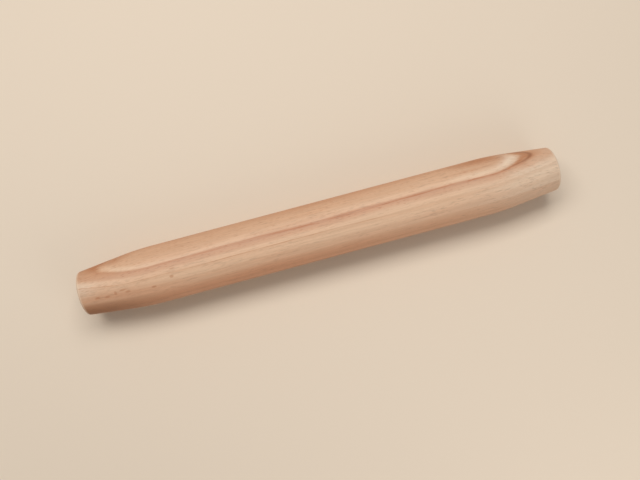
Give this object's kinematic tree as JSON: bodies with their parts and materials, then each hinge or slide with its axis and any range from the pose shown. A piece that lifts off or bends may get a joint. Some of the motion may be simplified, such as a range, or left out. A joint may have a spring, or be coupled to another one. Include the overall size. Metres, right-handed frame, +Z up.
{
  "type": "rolling pin",
  "caption": "One-piece wooden pizza rolling pin: a straight round barrel that tapers smoothly to a flat face at each end, rolled under the palms.",
  "frame": {"origin": "on the worktop under the middle of the pin, where the barrel touches it", "axes": "+X along the pin towards its right end in the picture, +Y away from the viewer, +Z up"},
  "size_m": [0.4, 0.0474, 0.0475],
  "materials": {
    "turned_beech": "bare pale beech, turned and sanded smooth, matt to satin, with growth rings and fine flecks"
  },
  "bodies": {
    "root": {"pin_body": "turned_beech"}
  },
  "joints": []
}
